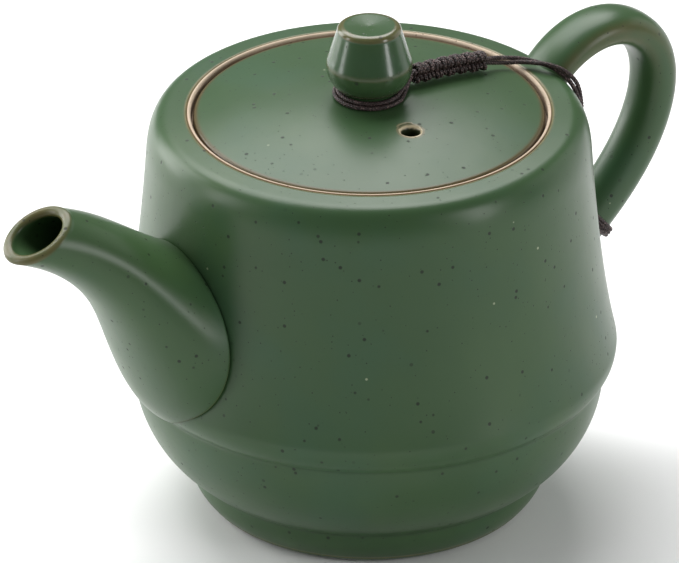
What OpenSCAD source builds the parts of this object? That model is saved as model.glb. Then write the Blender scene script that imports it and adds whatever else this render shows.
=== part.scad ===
// Stoneware teapot with a tethered lid. Millimetres, +Z up.
// Origin: centre of the foot's resting face. The spout points to -X, the handle to +X.

/* [Pot body] */
// Diameter at the belly, the widest line of the body
belly_d = 108; // [90:0.5:132]
// Height of the belly line above the table
belly_z = 37; // [34:0.5:45]
// Diameter at the upper step, where the belly is undercut
upper_step_d = 102.5; // [85:0.5:106]
// Height of the upper step
upper_step_z = 31; // [26:0.5:33]
// Diameter at the lower step, above the foot
lower_step_d = 79; // [75:0.5:96]
// Height of the lower step
lower_step_z = 9; // [7:0.5:12]
// Diameter where the wall ends and the shoulder starts to round over
shoulder_d = 96; // [93:0.5:106]
// Height at which the shoulder starts to round over, below the rim
shoulder_drop = 8.5; // [7:0.5:10.5]
// Height of the rim above the table
rim_z = 91.5; // [76:0.5:111]
// Diameter at which the shoulder meets the flat rim
rim_flat_d = 86.5; // [84:0.5:90]
// Thickness of the wall
wall = 4; // [3.3:0.1:5]
// Thickness of the floor
floor_t = 4.5; // [3.5:0.1:6]

/* [Foot ring] */
// Diameter of the resting face, at its outer edge
foot_d = 68; // [64:0.5:70]
// Diameter of the foot ring where it meets the body
foot_top_d = 73.6; // [72:0.2:74]
// Inner diameter of the foot ring
foot_inner_d = 59; // [50:0.5:62]
// Height of the foot ring
foot_h = 2; // [1.6:0.1:2.6]

/* [Lid seat] */
// Diameter of the pocket that takes the lid
seat_d = 76.8; // [74.8:0.2:78.4]
// Clear diameter of the mouth, inside the ledge
mouth_d = 69.2; // [62:0.2:71]
// Depth of the ledge below the rim
seat_depth = 3.1; // [2.6:0.1:3.7]
// Height of the whole seat ring
seat_h = 7; // [6:0.5:8.4]
// Width of the bare top band of the seat ring
seat_band = 0.8; // [0.6:0.1:0.9]

/* [Lid] */
// Gap all round between the lid plate and the pocket
lid_gap = 0.5; // [0.3:0.1:0.8]
// Gap under the lid plate, above the ledge
lid_rest_gap = 0.1; // [0.05:0.05:0.2]
// Thickness of the plate's edge
lid_edge_t = 2.5; // [2:0.1:3]
// Rise of the domed plate from its edge to the middle
lid_rise = 4.4; // [3.8:0.1:5.4]
// Thickness of the plate in the middle
lid_t = 4; // [3.3:0.1:4.8]
// Diameter of the steam hole
steam_d = 4; // [3:0.2:5]
// Distance of the steam hole from the lid's axis
steam_r = 17.6; // [14.5:0.1:21.5]
// Direction of the steam hole round the lid's axis, from +X
steam_turn = -92.5; // [-120:0.5:-60]
// Gap all round between the locating flange and the mouth
flange_gap = 0.6; // [0.4:0.1:1]
// Wall of the locating flange
flange_wall = 3; // [2.4:0.1:3.6]
// Depth of the locating flange below the plate
flange_drop = 8; // [6.5:0.5:10]

/* [Knob] */
// Diameter of the knob's neck, which the cord goes round
neck_d = 12; // [10.4:0.2:12.6]
// Height of the neck
neck_h = 2.1; // [2:0.1:3]
// Greatest diameter of the knob
knob_d = 18.6; // [17.4:0.2:22.4]
// Diameter of the knob's flat top, at its edge
knob_top_d = 14; // [11.6:0.2:16]
// Height of the rounding between the neck and the greatest diameter
knob_round_h = 5.4; // [4.6:0.1:6.4]
// Height of the whole knob above the lid
knob_h = 16.8; // [14:0.2:20.4]

/* [Spout] */
// Height of the spout's lower joint line above the upper step
spout_low = 0.3; // [0.2:0.1:1]
// Height of the root, from its lower to its upper joint line
spout_root_h = 39.7; // [38:0.1:41]
// Half width of the spout at its root
spout_root_w = 19.5; // [17:0.5:20.5]
// Half width at the mouth
spout_mouth_w = 7.6; // [7:0.1:8.6]
// Reach of the mouth's lower lip beyond the belly
spout_reach = 36.2; // [34:0.2:44]
// Drop of the mouth's lower lip below the rim
spout_drop = 11; // [10:0.5:13.5]
// Width of the mouth, from its lower to its upper lip, along X
lip_run = 14.7; // [14:0.1:16]
// Height of the upper lip above the lower one
lip_rise = 8; // [6.5:0.1:9.5]
// Wall of the spout
spout_wall = 2.5; // [2.2:0.1:2.9]

/* [Strainer] */
// Outer diameter of the strainer's dome and collar
strainer_d = 24; // [20:0.5:27]
// Thickness of the dome
strainer_t = 2; // [1.6:0.1:2.5]
// Diameter of each strainer hole
strainer_hole_d = 2.6; // [2:0.1:3]
// Height of the strainer's centre above the upper step
strainer_up = 20; // [17:0.5:24]

/* [Handle] */
// Reach of the handle's controlling corner beyond the shoulder
handle_reach = 37.5; // [31:0.5:45]
// Height of the handle's controlling corner above the rim
handle_lift = 14.5; // [12:0.5:17.5]
// Half width of the strap at its upper root
handle_root_w = 6; // [5:0.1:7.2]
// Half width of the strap where it ends, at the belly
handle_end_w = 5; // [4.2:0.1:6]
// Half thickness of the strap at its upper root
handle_root_t = 3.6; // [3.2:0.1:4.2]
// Half thickness of the strap where it ends
handle_end_t = 5; // [4.2:0.1:5.4]

/* [Cord] */
// Diameter of one braided strand
strand_d = 1.1; // [1:0.1:1.3]
// Gap between the cord and the clay that it goes round
cord_gap = 0.1; // [0.1:0.05:0.2]
// Thickness of the knotted length
knot_d = 4.8; // [3.8:0.1:5]
// Turns that tie the cord to the handle
tie_turns = 3; // [2:1:3]

/* [Hidden] */
$fn = 96;

glaze = [0.26, 0.38, 0.27];
clay = [0.72, 0.56, 0.44];
braid = [0.13, 0.09, 0.09];

belly_r = belly_d / 2;
shoulder_z = rim_z - shoulder_drop;
floor_z = foot_h + floor_t;
seat_outer_r = seat_d / 2 + seat_band;
ledge_z = rim_z - seat_depth;
lid_r = seat_d / 2 - lid_gap;
lid_base_z = ledge_z + lid_rest_gap;
lid_edge_z = lid_base_z + lid_edge_t;
flange_r = mouth_d / 2 - flange_gap;
neck_r = neck_d / 2;

// ---- curves ----------------------------------------------------------------

// Points of a cubic curve from a to d, drawn towards b and c
function curve(a, b, c, d, n) = [for (i = [0:n]) let (t = i / n)
    pow(1 - t, 3) * a + 3 * pow(1 - t, 2) * t * b + 3 * (1 - t) * t * t * c + pow(t, 3) * d];

// One point of a quartic curve with the five corners p
function quartic(p, t) = pow(1 - t, 4) * p[0] + 4 * pow(1 - t, 3) * t * p[1]
    + 6 * pow(1 - t, 2) * t * t * p[2] + 4 * (1 - t) * pow(t, 3) * p[3] + pow(t, 4) * p[4];

// Weighted value along a piece that grows from a through b and c to d
function blend4(a, b, c, d, t) = pow(1 - t, 3) * a + 3 * pow(1 - t, 2) * t * b
    + 3 * (1 - t) * t * t * c + pow(t, 3) * d;

// Points of a circular arc from a to b that stands out by bulge, to the right of the way
function arc(a, b, bulge, n) =
    let (chord = b - a, half = norm(chord) / 2, radius = (half * half + bulge * bulge) / (2 * bulge),
         side = [chord[1], -chord[0]] / norm(chord), centre = (a + b) / 2 - side * (radius - bulge),
         start = atan2(a[1] - centre[1], a[0] - centre[0]), sweep = 2 * asin(half / radius))
    [for (i = [0:n]) let (angle = start + sweep * i / n) centre + radius * [cos(angle), sin(angle)]];

// A list without its first point, which the list before it already ends on
function rest(list) = [for (i = [1:len(list) - 1]) list[i]];

// ---- the pot's profile: radius and height, from the foot up ----------------

lower_tier = arc([foot_top_d / 2, foot_h], [lower_step_d / 2, lower_step_z], 0.7, 6);
middle_tier = arc([lower_step_d / 2, lower_step_z], [upper_step_d / 2, upper_step_z], 3.2, 10);
belly_turn = curve([upper_step_d / 2, upper_step_z], [belly_r - 0.8, upper_step_z + 1.7],
                   [belly_r, belly_z - 2.6], [belly_r, belly_z], 8);
wall_line = curve([belly_r, belly_z], [belly_r, belly_z + 0.5], [shoulder_d / 2 + 2.3, belly_z + 12.7],
                  [shoulder_d / 2, shoulder_z], 18);
shoulder_turn = curve([shoulder_d / 2, shoulder_z], [shoulder_d / 2 - 0.4, rim_z - 2.9],
                      [rim_flat_d / 2 + 2.5, rim_z - 0.5], [rim_flat_d / 2, rim_z - 0.4], 10);
outside = concat(lower_tier, rest(middle_tier), rest(belly_turn), rest(wall_line),
                 rest(shoulder_turn), [[seat_outer_r, rim_z]]);

// Outer radius of the pot at height z, on the part of the profile that rises steadily
heights = [for (p = outside) if (p[1] < rim_z - 0.5) [p[1], p[0]]];
function wall_r(z) = lookup(z, heights);

cavity_top = shoulder_z - 3;
inside = concat([[0, floor_z], [wall_r(floor_z) - wall, floor_z]],
                [for (p = outside) if (p[1] > floor_z + 0.3 && p[1] < cavity_top - 0.3) [p[0] - wall, p[1]]],
                curve([wall_r(cavity_top) - wall, cavity_top], [wall_r(cavity_top) - wall, cavity_top + 4],
                      [seat_outer_r + 2.5, rim_z - seat_h + 0.6], [seat_outer_r, rim_z - seat_h + 1.4], 8));

// The body without its hollow, used to trim what is luted to its outside
module pot_form() {
    rotate_extrude() polygon(concat([[0, foot_h]], outside, [[0, rim_z]]));
}

strainer_z = upper_step_z + strainer_up;
strainer_x = -(wall_r(strainer_z) - wall) + 0.5;

// A round hole from the outside to the hollow, along X, behind the spout
module strainer_bore() {
    reach_in = 4;
    translate([strainer_x + reach_in, 0, strainer_z]) rotate([0, -90, 0])
        cylinder(d = strainer_d, h = reach_in + 2 * wall + 6);
}

module pot_body() {
    color(glaze) difference() {
        rotate_extrude() polygon(concat([[0, foot_h]], outside, [for (i = [len(inside) - 1:-1:0]) inside[i]]));
        strainer_bore();
    }
}

// The seat ring: a bare band at the rim, the lid's pocket and the ledge that it rests on
module lid_seat() {
    bevel = seat_band / 2;
    foot_z = rim_z - seat_h;
    color(clay) rotate_extrude() polygon([
        [seat_outer_r, foot_z + 1.4],
        [seat_outer_r, rim_z],
        [seat_d / 2 + bevel, rim_z - 0.05],
        [seat_d / 2, rim_z - bevel],
        [seat_d / 2, ledge_z],
        [mouth_d / 2 + 0.5, ledge_z],
        [mouth_d / 2, ledge_z - 0.5],
        [mouth_d / 2, foot_z + 0.6],
        [mouth_d / 2 + 0.6, foot_z],
        [seat_outer_r - 0.8, foot_z]
    ]);
}

module foot_ring() {
    color(clay) rotate_extrude() polygon(concat(
        [[foot_inner_d / 2, foot_h], [foot_inner_d / 2 + 0.6, 0]],
        arc([foot_d / 2, 0], [foot_top_d / 2, foot_h], 0.4, 6)));
}

// ---- swept pieces ----------------------------------------------------------

// Faces of a closed skin over rings of equal size, capped at both ends
function tube_faces(rings, sides) = concat(
    [[for (j = [sides - 1:-1:0]) j]],
    [for (i = [0:rings - 2], j = [0:sides - 1]) let (a = i * sides + j, b = i * sides + (j + 1) % sides)
        each [[a, b, b + sides], [a, b + sides, a + sides]]],
    [[for (j = [0:sides - 1]) (rings - 1) * sides + j]]);

// Faces of a skin over rings that close on themselves
function loop_faces(rings, sides) = [for (i = [0:rings - 1], j = [0:sides - 1])
    let (k = (i + 1) % rings, a = i * sides + j, b = i * sides + (j + 1) % sides,
         c = k * sides + (j + 1) % sides, d = k * sides + j)
    each [[a, b, c], [a, c, d]]];

// ---- spout -----------------------------------------------------------------

// Top and bottom lines of the spout in the XZ plane, from inside the wall to the mouth
spout_base = upper_step_z + spout_low;
lip_low = [-(belly_r + spout_reach), rim_z - spout_drop];
lip_high = lip_low + [lip_run, lip_rise];
root_top_z = spout_base + spout_root_h;
spout_top = [[-shoulder_d / 2 + 14, root_top_z - 3.6], [-shoulder_d / 2 - 5, root_top_z - 0.3],
             [-shoulder_d / 2 - 12, lip_high[1] - 6], lip_high];
spout_bottom = [[-upper_step_d / 2 + 1, spout_base - 0.5], [-belly_r - 11.5, spout_base + 3.7],
                [-belly_r - 4, lip_low[1] - 12.3], lip_low];
spout_rings = 27;
spout_sides = 24;

// Ring number i of a skin that lies in by inset from the spout's outer lines
function spout_ring(i, inset) =
    let (t = i / (spout_rings - 1),
         top = curve(spout_top[0], spout_top[1], spout_top[2], spout_top[3], spout_rings - 1)[i],
         low = curve(spout_bottom[0], spout_bottom[1], spout_bottom[2], spout_bottom[3], spout_rings - 1)[i],
         middle = (top + low) / 2, half = (top - low) / 2, across = half / norm(half),
         tall = norm(half) - inset,
         wide = blend4(spout_root_w, spout_root_w + 2.4, spout_mouth_w + 3.2, spout_mouth_w, t) - inset)
    [for (j = [0:spout_sides - 1]) let (angle = -360 * j / spout_sides, p = middle + across * tall * cos(angle))
        [p[0], wide * sin(angle), p[1]]];

// The lip's rounded edge: the outer skin turns over to the inner one past the last ring
function lip_ring(inset, out) =
    let (axis = [-(lip_high - lip_low)[1], (lip_high - lip_low)[0]] / norm(lip_high - lip_low) * out)
    [for (p = spout_ring(spout_rings - 1, inset)) p + [axis[0], 0, axis[1]]];

spout_outer_skin = concat([for (i = [0:spout_rings - 1]) spout_ring(i, 0)],
                          [lip_ring(0.5, 0.9), lip_ring(1.3, 1.1), lip_ring(2, 0.8)]);
spout_channel = concat([for (i = [0:spout_rings - 1]) spout_ring(i, spout_wall)],
                       [lip_ring(spout_wall - 0.1, 0.9), lip_ring(spout_wall - 0.6, 3)]);

module skin(rings) {
    polyhedron(points = [for (ring = rings) each ring], faces = tube_faces(len(rings), len(rings[0])),
               convexity = 6);
}

module spout() {
    color(glaze) difference() {
        skin(spout_outer_skin);
        skin(spout_channel);
        pot_form();
    }
}

// ---- strainer --------------------------------------------------------------

// Rings of holes in the dome: how far each lies from the dome's axis, and how many it has
strainer_rows = [[0, 1], [26, 6], [52, 12]];

module strainer() {
    radius = strainer_d / 2;
    color(glaze) translate([strainer_x, 0, strainer_z]) rotate([0, 90, 0]) difference() {
        union() {
            difference() {
                sphere(r = radius);
                sphere(r = radius - strainer_t);
                translate([0, 0, -radius - 1]) cylinder(r = radius + 1, h = radius + 1);
            }
            difference() {
                translate([0, 0, -wall - 4]) cylinder(r = radius, h = wall + 4);
                translate([0, 0, -wall - 5]) cylinder(r = radius - strainer_t, h = wall + 6);
                translate([0, 0, -wall + 1.5]) mirror([0, 0, 1]) cylinder(r = radius + 1, h = 2 * wall);
            }
        }
        for (row = strainer_rows, i = [0:row[1] - 1])
            rotate([row[0], 0, 360 * i / row[1]]) translate([0, 0, radius - strainer_t - 1])
                cylinder(d = strainer_hole_d, h = strainer_t + 2, $fn = 32);
    }
}

// ---- handle ----------------------------------------------------------------

shoulder_r = shoulder_d / 2;
handle_line = [[shoulder_r - 9, shoulder_z - 8], [shoulder_r - 1.5, rim_z + handle_lift + 2],
               [shoulder_r + handle_reach, rim_z + handle_lift - 2],
               [shoulder_r + handle_reach - 0.5, upper_step_z + 39.5], [belly_r - 4.5, upper_step_z + 13]];
handle_rings = 40;
handle_sides = 16;
squareness = 2.3;

function handle_at(t) = quartic(handle_line, t);
function handle_along(t) = let (d = handle_at(t + 0.01) - handle_at(t - 0.01)) d / norm(d);
function handle_half_w(t) = blend4(handle_root_w, 7.4, 4.9, handle_end_w, t);
function handle_half_t(t) = blend4(handle_root_t, 3.2, 5.2, handle_end_t, t);
function rounded(v) = sign(v) * pow(abs(v), 2 / squareness);

// A point of the strap's outline at station t, out by some distance and moved along by step
function strap_point(t, angle, out, step) =
    let (p = handle_at(t), along = handle_along(t), across = [-along[1], along[0]],
         u = (handle_half_t(t) + out) * rounded(cos(angle)), v = (handle_half_w(t) + out) * rounded(sin(angle)),
         q = p + across * u + along * step)
    [q[0], v, q[1]];

module handle() {
    rings = [for (i = [0:handle_rings - 1]) let (t = i / (handle_rings - 1))
        [for (j = [0:handle_sides - 1]) strap_point(t, 360 * j / handle_sides, 0, 0)]];
    color(glaze) difference() {
        skin(rings);
        pot_form();
    }
}

// ---- lid -------------------------------------------------------------------

// Height of the plate's domed top at radius r
lid_top_z = lid_edge_z + lid_rise;
dome_r = (lid_r * lid_r + lid_rise * lid_rise) / (2 * lid_rise);
function dome_z(r) = lid_top_z - dome_r + sqrt(dome_r * dome_r - r * r);
knob_base_z = dome_z(neck_r);

module lid_plate() {
    edge = 0.5;
    under_r = flange_r - flange_wall;
    under_rise = lid_rise + lid_edge_t - lid_t;
    top = [for (i = [0:12]) let (r = lid_r - edge - (lid_r - edge - neck_r) * i / 12) [r, dome_z(r)]];
    under = arc([under_r, lid_base_z], [0, lid_base_z + under_rise], 0.35, 8);
    color(glaze) difference() {
        rotate_extrude() polygon(concat(
            [[lid_r - edge, lid_base_z], [lid_r, lid_base_z + edge], [lid_r, lid_edge_z - edge]],
            top, [[0, knob_base_z]], [for (i = [len(under) - 1:-1:0]) under[i]]));
        rotate([0, 0, steam_turn]) translate([steam_r, 0, lid_base_z - 1]) cylinder(d = steam_d, h = lid_rise + 6);
    }
}

module lid_flange() {
    edge = 0.8;
    low_z = lid_base_z - flange_drop;
    inner_r = flange_r - flange_wall;
    color(clay) rotate_extrude() polygon([
        [inner_r, lid_base_z],
        [inner_r, low_z + edge],
        [inner_r + edge, low_z],
        [flange_r - edge, low_z],
        [flange_r, low_z + edge],
        [flange_r, lid_base_z]
    ]);
}

module knob() {
    knob_r = knob_d / 2;
    round_z = knob_base_z + neck_h;
    wide_z = round_z + knob_round_h;
    top_z = knob_base_z + knob_h;
    lower = curve([neck_r, round_z], [neck_r + (knob_r - neck_r) * 0.4, round_z],
                  [knob_r, wide_z - knob_round_h * 0.53], [knob_r, wide_z], 8);
    upper = curve([knob_top_d / 2, top_z - 1.4], [knob_top_d / 2 - 0.1, top_z - 0.6],
                  [knob_top_d / 2 - 0.8, top_z - 0.5], [knob_top_d / 2 - 1.6, top_z - 0.4], 5);
    color(glaze) rotate_extrude() polygon(concat([[0, knob_base_z], [neck_r, knob_base_z]], lower, upper, [[0, top_z]]));
}

// ---- cord ------------------------------------------------------------------

// The middle of the two strands that run together, from the knot to the handle tie
tether_route = [[30.3, 0.9, 95], [33.3, 1.4, 94.1], [36.3, 1.2, 93.4], [39.2, 0, 93.1],
                [41.6, -2.4, 92.9], [43.6, -5, 92.6], [45.5, -7.4, 91.4], [47.2, -9, 88.8],
                [48.2, -9.7, 84.8], [48.7, -10, 80], [49.2, -10.1, 74], [49.7, -10.3, 68],
                [50.4, -10.3, 62], [51.2, -10, 57.2], [52.5, -9.2, 53.2], [54.7, -8, 50.4],
                [57.3, -7.1, 49]];
tether_d = 2.2;
// The middle of the knotted length, from the neck loop to the tether; it starts as two plain strands
knot_route = [[7.2, -0.8, 96.9], [10.4, -0.6, 97.6], [15.3, -0.2, 97.3], [20.3, 0.2, 96.8],
              [25, 0.5, 96.1], [29.9, 0.8, 95.2]];
knot_lobes = 6;
tie_t = 0.942;

// A smooth curve through the points p, at u from 0 to len(p) - 1
function through(p, u) =
    let (last = len(p) - 1, i = min(floor(u), last - 1), f = u - i,
         a = i > 0 ? p[i - 1] : 2 * p[0] - p[1], b = p[i], c = p[i + 1],
         d = i + 2 <= last ? p[i + 2] : 2 * p[last] - p[last - 1])
    b + 0.5 * f * (c - a + f * (2 * a - 5 * b + 4 * c - d + f * (3 * (b - c) + d - a)));

// A ring of some radius round the curve at u, held level across the way
function ring_at(p, u, radius, sides) =
    let (q = through(p, u), step = through(p, min(u + 0.05, len(p) - 1)) - through(p, max(u - 0.05, 0)),
         way = step / norm(step), side = cross(way, [0, 0, 1]) / norm(cross(way, [0, 0, 1])),
         up = cross(side, way))
    [for (j = [0:sides - 1]) let (angle = 360 * j / sides)
        q + radius * (cos(angle) * side + sin(angle) * up)];

module cord_neck_loop() {
    loop_r = neck_r + cord_gap + strand_d / 2;
    low_z = dome_z(loop_r) + cord_gap + strand_d / 2;
    beside = (strand_d - 0.05) / sqrt(2);
    color(braid) rotate_extrude() union() {
        translate([loop_r, low_z]) circle(d = strand_d, $fn = 24);
        translate([loop_r + beside, low_z + beside]) circle(d = strand_d, $fn = 24);
    }
}

module cord_snake_knot() {
    per_lobe = 5;
    count = knot_lobes * per_lobe;
    span = len(knot_route) - 2;
    lead = [for (u = [0, 0.5]) ring_at(knot_route, u, strand_d * (0.5 + 0.3 * u), 10)];
    lobes = [for (i = [0:count]) let (lobe = abs(sin(180 * i / per_lobe)))
        ring_at(knot_route, 1 + span * i / count, knot_d / 2 * (0.78 + 0.22 * lobe), 10)];
    color(braid) skin(concat(lead, lobes));
}

module cord_tether() {
    count = 34;
    span = len(tether_route) - 1;
    color(braid) skin([for (i = [0:count]) ring_at(tether_route, span * i / count, tether_d / 2, 8)]);
}

module cord_handle_tie() {
    stations = 24;
    half = tie_turns * strand_d / 2;
    color(braid) polyhedron(points = [for (i = [0:stations - 1]) let (angle = 360 * i / stations) each [
        strap_point(tie_t, angle, cord_gap, -half + 0.4),
        strap_point(tie_t, angle, cord_gap, half - 0.4),
        strap_point(tie_t, angle, cord_gap + strand_d * 0.5, half),
        strap_point(tie_t, angle, cord_gap + strand_d, half - 0.5),
        strap_point(tie_t, angle, cord_gap + strand_d, -half + 0.5),
        strap_point(tie_t, angle, cord_gap + strand_d * 0.5, -half)
    ]], faces = loop_faces(stations, 6), convexity = 4);
}

// The cord's two cut ends, each held by a small round stopper knot
module cord_ends() {
    knots = [[57.5, 7, 50.9], [55.9, 7, 49]];
    knot_r = strand_d * 0.8;
    flat_r = strand_d * 0.35;
    flat_z = sqrt(knot_r * knot_r - flat_r * flat_r);
    color(braid) for (p = knots) translate(p) rotate_extrude($fn = 20)
        polygon(concat([[0, -flat_z]], arc([flat_r, -flat_z], [flat_r, flat_z], knot_r - flat_r, 8), [[0, flat_z]]));
}

pot_body();
lid_seat();
foot_ring();
spout();
strainer();
handle();
lid_plate();
lid_flange();
knob();
cord_neck_loop();
cord_snake_knot();
cord_tether();
cord_handle_tie();
cord_ends();
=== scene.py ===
import math

import bpy
import numpy as np
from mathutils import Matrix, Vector


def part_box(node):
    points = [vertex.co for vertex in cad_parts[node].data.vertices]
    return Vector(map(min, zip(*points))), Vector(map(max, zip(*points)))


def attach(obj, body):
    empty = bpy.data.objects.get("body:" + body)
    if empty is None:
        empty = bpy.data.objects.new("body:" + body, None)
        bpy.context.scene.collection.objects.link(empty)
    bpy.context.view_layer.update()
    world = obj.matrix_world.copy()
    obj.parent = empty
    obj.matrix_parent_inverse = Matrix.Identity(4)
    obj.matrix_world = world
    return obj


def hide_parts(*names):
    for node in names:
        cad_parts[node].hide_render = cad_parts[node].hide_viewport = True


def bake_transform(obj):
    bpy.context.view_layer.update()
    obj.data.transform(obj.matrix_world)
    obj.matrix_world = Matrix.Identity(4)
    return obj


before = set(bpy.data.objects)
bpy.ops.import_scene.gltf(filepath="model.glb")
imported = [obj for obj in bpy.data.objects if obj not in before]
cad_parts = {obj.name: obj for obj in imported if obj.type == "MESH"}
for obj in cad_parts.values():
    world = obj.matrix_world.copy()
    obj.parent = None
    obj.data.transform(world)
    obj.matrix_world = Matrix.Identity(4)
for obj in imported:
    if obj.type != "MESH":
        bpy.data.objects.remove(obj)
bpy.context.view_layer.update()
MM = 0.001

# ---- Camera, lamps and table ------------------------------------------------
# The pot stands on a pale studio table, seen from a little above with the spout
# towards the left. Large soft panels light it, so the glaze shows broad reflections.

view_azimuth, view_elevation, view_distance = math.radians(-32.5), math.radians(28), 2.0
view_back = Vector((math.sin(view_azimuth) * math.cos(view_elevation),
                    -math.cos(view_azimuth) * math.cos(view_elevation),
                    math.sin(view_elevation)))
view_target = Vector((-5.4, 3.4, 50)) * MM
camera = bpy.data.objects.new("camera", bpy.data.cameras.new("camera"))
bpy.context.scene.collection.objects.link(camera)
camera.location = view_target + view_back * view_distance
camera.rotation_mode = "QUATERNION"
camera.rotation_quaternion = (-view_back).to_track_quat("-Z", "Y")
camera.data.sensor_width = 36
camera.data.lens = 488.8
camera.data.clip_start = 0.1
camera.data.clip_end = 50
bpy.context.scene.camera = camera


def lamp_panel(name, place, aim, width, height, watts, colour=(1, 1, 1)):
    """A soft rectangular lamp at place that points at aim."""
    data = bpy.data.lights.new(name, "AREA")
    data.shape = "RECTANGLE"
    data.size, data.size_y = width, height
    data.energy = watts
    data.color = colour
    lamp = bpy.data.objects.new(name, data)
    lamp.location = place
    lamp.rotation_mode = "QUATERNION"
    lamp.rotation_quaternion = (Vector(aim) - Vector(place)).to_track_quat("-Z", "Y")
    bpy.context.scene.collection.objects.link(lamp)


bpy.context.scene.view_settings.view_transform = "Standard"
lamp_panel("top_panel", (0.15, 0.6, 1.0), (0, 0, 0.05), 1.1, 0.8, 18)
lamp_panel("back_panel", (-0.55, 1.05, 0.4), (0, 0, 0.05), 0.6, 0.9, 11)
lamp_panel("side_panel", (1.1, -0.1, 0.35), (0, 0, 0.05), 0.9, 0.9, 2.6)
lamp_panel("right_panel", (0.5, -1.1, 0.42), (0, 0, 0.05), 0.22, 0.7, 5)
lamp_panel("left_panel", (-1.1, 0.45, 0.35), (0, 0, 0.05), 0.25, 0.7, 4)

studio = bpy.data.worlds.new("studio")
studio.use_nodes = True
studio.node_tree.nodes["Background"].inputs["Color"].default_value = (1, 1, 1, 1)
studio.node_tree.nodes["Background"].inputs["Strength"].default_value = 0.2
bpy.context.scene.world = studio


class Recipe:
    """A material being mixed: its node tree, with one short call for each kind of node."""

    def __init__(self, name):
        self.material = bpy.data.materials.new(name)
        self.material.use_nodes = True
        self.tree = self.material.node_tree
        self.shader = self.tree.nodes["Principled BSDF"]
        self.place = self.tree.nodes.new("ShaderNodeTexCoord").outputs["Object"]

    def node(self, kind, settings=None, **inputs):
        """A node of that kind, its settings set and its inputs joined or given a value."""
        made = self.tree.nodes.new("ShaderNode" + kind)
        for key, value in (settings or {}).items():
            setattr(made, key, value)
        for key, value in inputs.items():
            socket = made.inputs[int(key[1:])] if key[1:].isdigit() else made.inputs[key]
            if isinstance(value, bpy.types.NodeSocket):
                self.tree.links.new(value, socket)
            else:
                socket.default_value = value
        return made

    def noise(self, scale, detail=3.0, rough=0.55, place=None, warp=0.0):
        return self.node("TexNoise", Vector=place or self.place, Scale=scale, Detail=detail,
                         Roughness=rough, Distortion=warp).outputs["Fac"]

    def cells(self, scale, place=None):
        """Distance to the middle of the nearest cell, and a random value of that cell."""
        made = self.node("TexVoronoi", Vector=place or self.place, Scale=scale)
        return made.outputs["Distance"], self.node("SeparateColor", _0=made.outputs["Color"]).outputs[0]

    def ramp(self, value, low, high, start=0.0, end=1.0):
        """value taken from low..high to start..end, smoothly and held at both ends."""
        return self.node("MapRange", {"interpolation_type": "SMOOTHSTEP"}, _0=value, _1=low, _2=high,
                         _3=start, _4=end).outputs[0]

    def maths(self, operation, a, b=0.0):
        return self.node("Math", {"operation": operation}, _0=a, _1=b).outputs[0]

    def mix(self, factor, a, b):
        """Colour a, turning to b where factor is one."""
        made = self.tree.nodes.new("ShaderNodeMix")
        made.data_type = "RGBA"
        for index, value in ((0, factor), (6, a), (7, b)):
            if isinstance(value, bpy.types.NodeSocket):
                self.tree.links.new(value, made.inputs[index])
            else:
                made.inputs[index].default_value = value
        return made.outputs[2]

    def attribute(self, name):
        return self.node("Attribute", {"attribute_name": name}).outputs["Fac"]

    def bump(self, height, distance, strength=1.0, below=None):
        inputs = {"Height": height, "Distance": distance, "Strength": strength}
        if below is not None:
            inputs["Normal"] = below
        return self.node("Bump", **inputs).outputs["Normal"]

    def finish(self, colour, roughness, normal=None, **constants):
        self.tree.links.new(colour, self.shader.inputs["Base Color"])
        self.tree.links.new(roughness, self.shader.inputs["Roughness"])
        if normal is not None:
            self.tree.links.new(normal, self.shader.inputs["Normal"])
        for key, value in constants.items():
            self.shader.inputs[key.replace("_", " ")].default_value = value
        return self.material


def table_paint():
    paint = Recipe("table_paint")
    tone = paint.mix(paint.noise(6.0), (0.93, 0.93, 0.93, 1), (0.96, 0.96, 0.96, 1))
    return paint.finish(tone, paint.ramp(paint.noise(30.0), 0.3, 0.7, 0.7, 0.85))


def mesh_piece(name, points, faces, material=None, smooth=True):
    """A new object in the scene with that mesh, its place in the mesh."""
    mesh = bpy.data.meshes.new(name)
    mesh.from_pydata([tuple(map(float, p)) for p in points], [], faces)
    mesh.update()
    if material:
        mesh.materials.append(material)
    mesh.shade_smooth() if smooth else mesh.shade_flat()
    piece = bpy.data.objects.new(name, mesh)
    bpy.context.scene.collection.objects.link(piece)
    return piece


table = mesh_piece("table", [(-4, -4, 0), (4, -4, 0), (4, 4, 0), (-4, 4, 0)], [(0, 1, 2, 3)], table_paint())

# ---- The cord ---------------------------------------------------------------
# One length of dark brown braided cord, used double. Each strand is eight polyester
# yarns plaited over and under. It is looped round the knob, tied in a row of snake
# knots, led over the rim and tied off round the handle.

strand_d = 1.1 * MM
tether_route = np.array([
    [30.3, 0.9, 95], [33.3, 1.4, 94.1], [36.3, 1.2, 93.4], [39.2, 0, 93.1],
    [41.6, -2.4, 92.9], [43.6, -5, 92.6], [45.5, -7.4, 91.4], [47.2, -9, 88.8],
    [48.2, -9.7, 84.8], [48.7, -10, 80], [49.2, -10.1, 74], [49.7, -10.3, 68],
    [50.4, -10.3, 62], [51.2, -10, 57.2], [52.5, -9.2, 53.2], [54.7, -8, 50.4],
    [57.3, -7.1, 49]]) * MM
knot_route = np.array([[7.2, -0.8, 96.9], [10.4, -0.6, 97.6], [15.3, -0.2, 97.3], [20.3, 0.2, 96.8],
                       [25, 0.5, 96.1], [29.9, 0.8, 95.2]]) * MM


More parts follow.
